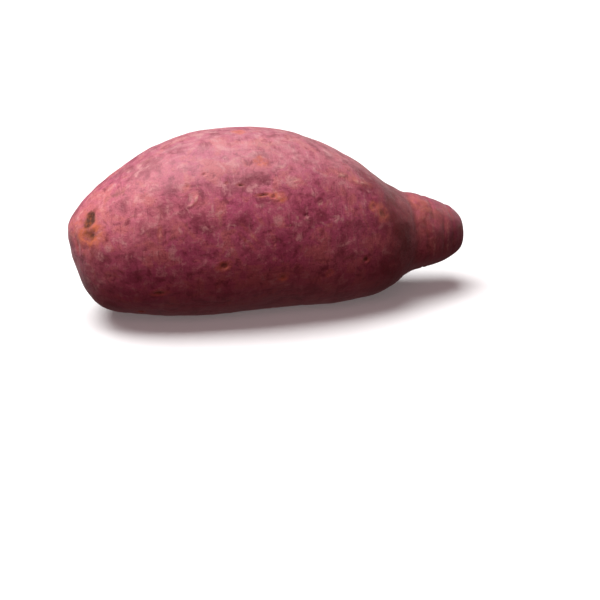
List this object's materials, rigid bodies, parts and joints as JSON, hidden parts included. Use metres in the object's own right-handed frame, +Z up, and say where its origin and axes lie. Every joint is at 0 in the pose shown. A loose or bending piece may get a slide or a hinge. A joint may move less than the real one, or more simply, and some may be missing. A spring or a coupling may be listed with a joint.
{
  "type": "purple sweet potato",
  "caption": "Whole uncut purple sweet potato, plump in the belly and drawn in to a short neck at the crown end, lying on its side.",
  "frame": {"origin": "on the surface that the root lies on, under the middle of its length and breadth", "axes": "+X runs along the root from the blunt root end to the neck and crown end, +Y is the far side, +Z is up"},
  "size_m": [0.158, 0.0732, 0.0712],
  "materials": {
    "skin": "dry matte root skin, dusty rose to mauve purple, with brown root scars"
  },
  "bodies": {
    "root": {"sweet_potato": "skin"}
  },
  "joints": []
}
